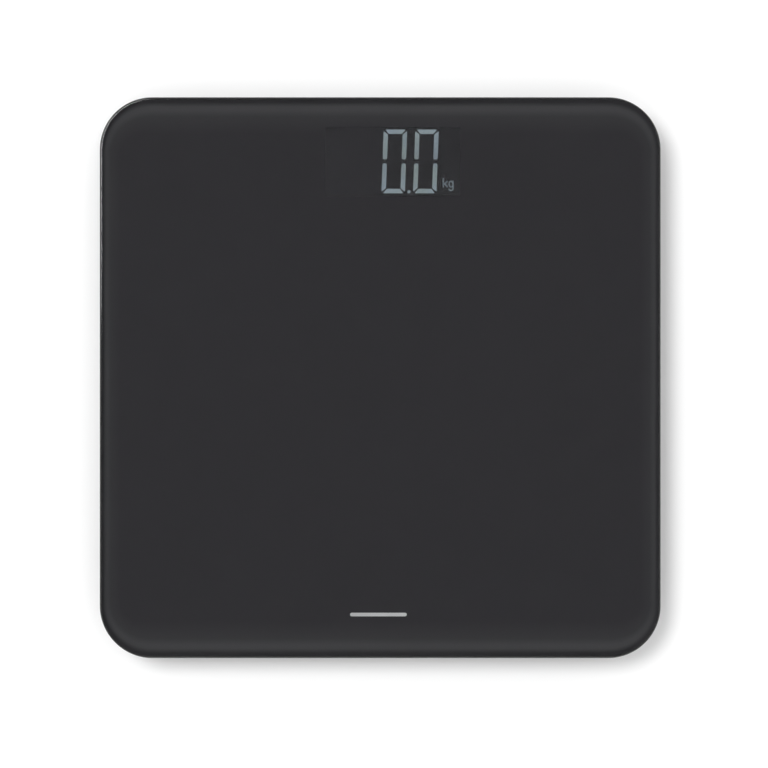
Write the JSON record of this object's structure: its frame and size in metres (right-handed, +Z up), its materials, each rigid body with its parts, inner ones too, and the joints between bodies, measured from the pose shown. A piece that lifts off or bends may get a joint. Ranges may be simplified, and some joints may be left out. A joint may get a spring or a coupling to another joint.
{
  "type": "digital bathroom scale",
  "caption": "Square glass-platform bathroom scale with rounded corners, a lit digital readout at one end, a slim plastic base, weighing feet and a battery door underneath.",
  "frame": {"origin": "centre of the footprint, on the floor under the feet", "axes": "+Z up through the platform, +Y towards the display end, +X to the right of a person reading the display"},
  "size_m": [0.31, 0.31, 0.025],
  "materials": {
    "tempered_glass": "polished faces and edge, with a rounded arris",
    "ceramic_ink": "dark grey ceramic ink fired on the underside of the glass",
    "window_ink": "smoke-tinted translucent ink, dark until the display lights",
    "mark_ink": "light grey ink",
    "foam_tape": "black double-sided foam tape",
    "housing_plastic": "dark grey ABS with a fine spark texture",
    "cover_plastic": "dark grey ABS with a fine spark texture",
    "button_plastic": "mid grey ABS",
    "foot_plastic": "dark grey glass-filled nylon",
    "foot_rubber": "grey thermoplastic rubber",
    "screw_steel": "black zinc-plated steel",
    "cell_steel": "nickel-plated stamped steel",
    "silicone": "white silicone sealant",
    "display_glass": "thin soda-lime glass",
    "polariser": "near-black polarising film",
    "lit_segment": "grey-blue lit readout",
    "white_plastic": "white ABS",
    "light_guide": "clear acrylic light guide over a white reflector",
    "led": "white LED package",
    "connector_rubber": "layered conductive and insulating silicone",
    "circuit_board": "green solder mask over glass-fibre board",
    "chip_black": "black moulding compound",
    "crystal_can": "nickel-plated can",
    "ceramic_chip": "tan ceramic",
    "solder": "bright solder",
    "switch_black": "black nylon with a steel cover",
    "switch_plunger": "tan nylon",
    "contact_metal": "nickel-plated spring steel",
    "battery_can": "steel can in a plain printed sleeve",
    "wire_black": "black insulated lead",
    "wire_red": "red insulated lead",
    "wire_white": "white insulated lead"
  },
  "bodies": {
    "root": {"back_print": "ceramic_ink", "backlight_leds": "led", "backlight_panel": "light_guide", "battery_1": "battery_can", "battery_2": "battery_can", "battery_3": "battery_can", "battery_contacts": "contact_metal", "battery_lead_black": "wire_black", "battery_lead_red": "wire_red", "battery_springs": "contact_metal", "board_screws": "screw_steel", "bottom_cover": "cover_plastic", "capacitors": "ceramic_chip", "converter_chip": "chip_black", "cover_screws": "screw_steel", "crystal": "crystal_can", "display_window": "window_ink", "glass_platform": "tempered_glass", "glass_tape": "foam_tape", "lcd_front_glass": "display_glass", "lcd_front_polariser": "polariser", "lcd_gasket": "foam_tape", "lcd_holder": "white_plastic", "lcd_rear_glass": "display_glass", "lcd_rear_polariser": "polariser", "lcd_segments": "lit_segment", "load_cell_front_left": "cell_steel", "load_cell_front_right": "cell_steel", "load_cell_rear_left": "cell_steel", "load_cell_rear_right": "cell_steel", "load_cell_wires_black": "wire_black", "load_cell_wires_red": "wire_red", "load_cell_wires_white": "wire_white", "main_board": "circuit_board", "microcontroller": "chip_black", "printed_mark": "mark_ink", "resistors": "chip_black", "solder_joints": "solder", "strain_gauge_seals": "silicone", "unit_switch": "switch_black", "upper_housing": "housing_plastic", "zebra_strip": "connector_rubber"},
    "battery_door": {"battery_door": "cover_plastic"},
    "unit_button": {"unit_button": "button_plastic", "unit_switch_plunger": "switch_plunger"},
    "foot_front_left": {"foot_plate_front_left": "foot_plastic", "foot_pad_front_left": "foot_rubber"},
    "foot_front_right": {"foot_plate_front_right": "foot_plastic", "foot_pad_front_right": "foot_rubber"},
    "foot_rear_left": {"foot_plate_rear_left": "foot_plastic", "foot_pad_rear_left": "foot_rubber"},
    "foot_rear_right": {"foot_plate_rear_right": "foot_plastic", "foot_pad_rear_right": "foot_rubber"}
  },
  "joints": [
    {"name": "battery_door_hinge", "type": "hinge", "parent": "root", "child": "battery_door", "pos_m": [0, 0.0406, 0.0051], "axis": [1, 0, 0], "range_deg": [0, 100]},
    {"name": "unit_button_press", "type": "slide", "parent": "root", "child": "unit_button", "axis": [0, 0, 1], "range_m": [0, 0.0005], "stiffness_N_per_m": 3000, "springref_m": -0.0003},
    {"name": "foot_play_front_left", "type": "slide", "parent": "root", "child": "foot_front_left", "axis": [0, 0, 1], "range_m": [-0.0004, 0]},
    {"name": "foot_play_front_right", "type": "slide", "parent": "root", "child": "foot_front_right", "axis": [0, 0, 1], "range_m": [-0.0004, 0]},
    {"name": "foot_play_rear_left", "type": "slide", "parent": "root", "child": "foot_rear_left", "axis": [0, 0, 1], "range_m": [-0.0004, 0]},
    {"name": "foot_play_rear_right", "type": "slide", "parent": "root", "child": "foot_rear_right", "axis": [0, 0, 1], "range_m": [-0.0004, 0]}
  ]
}
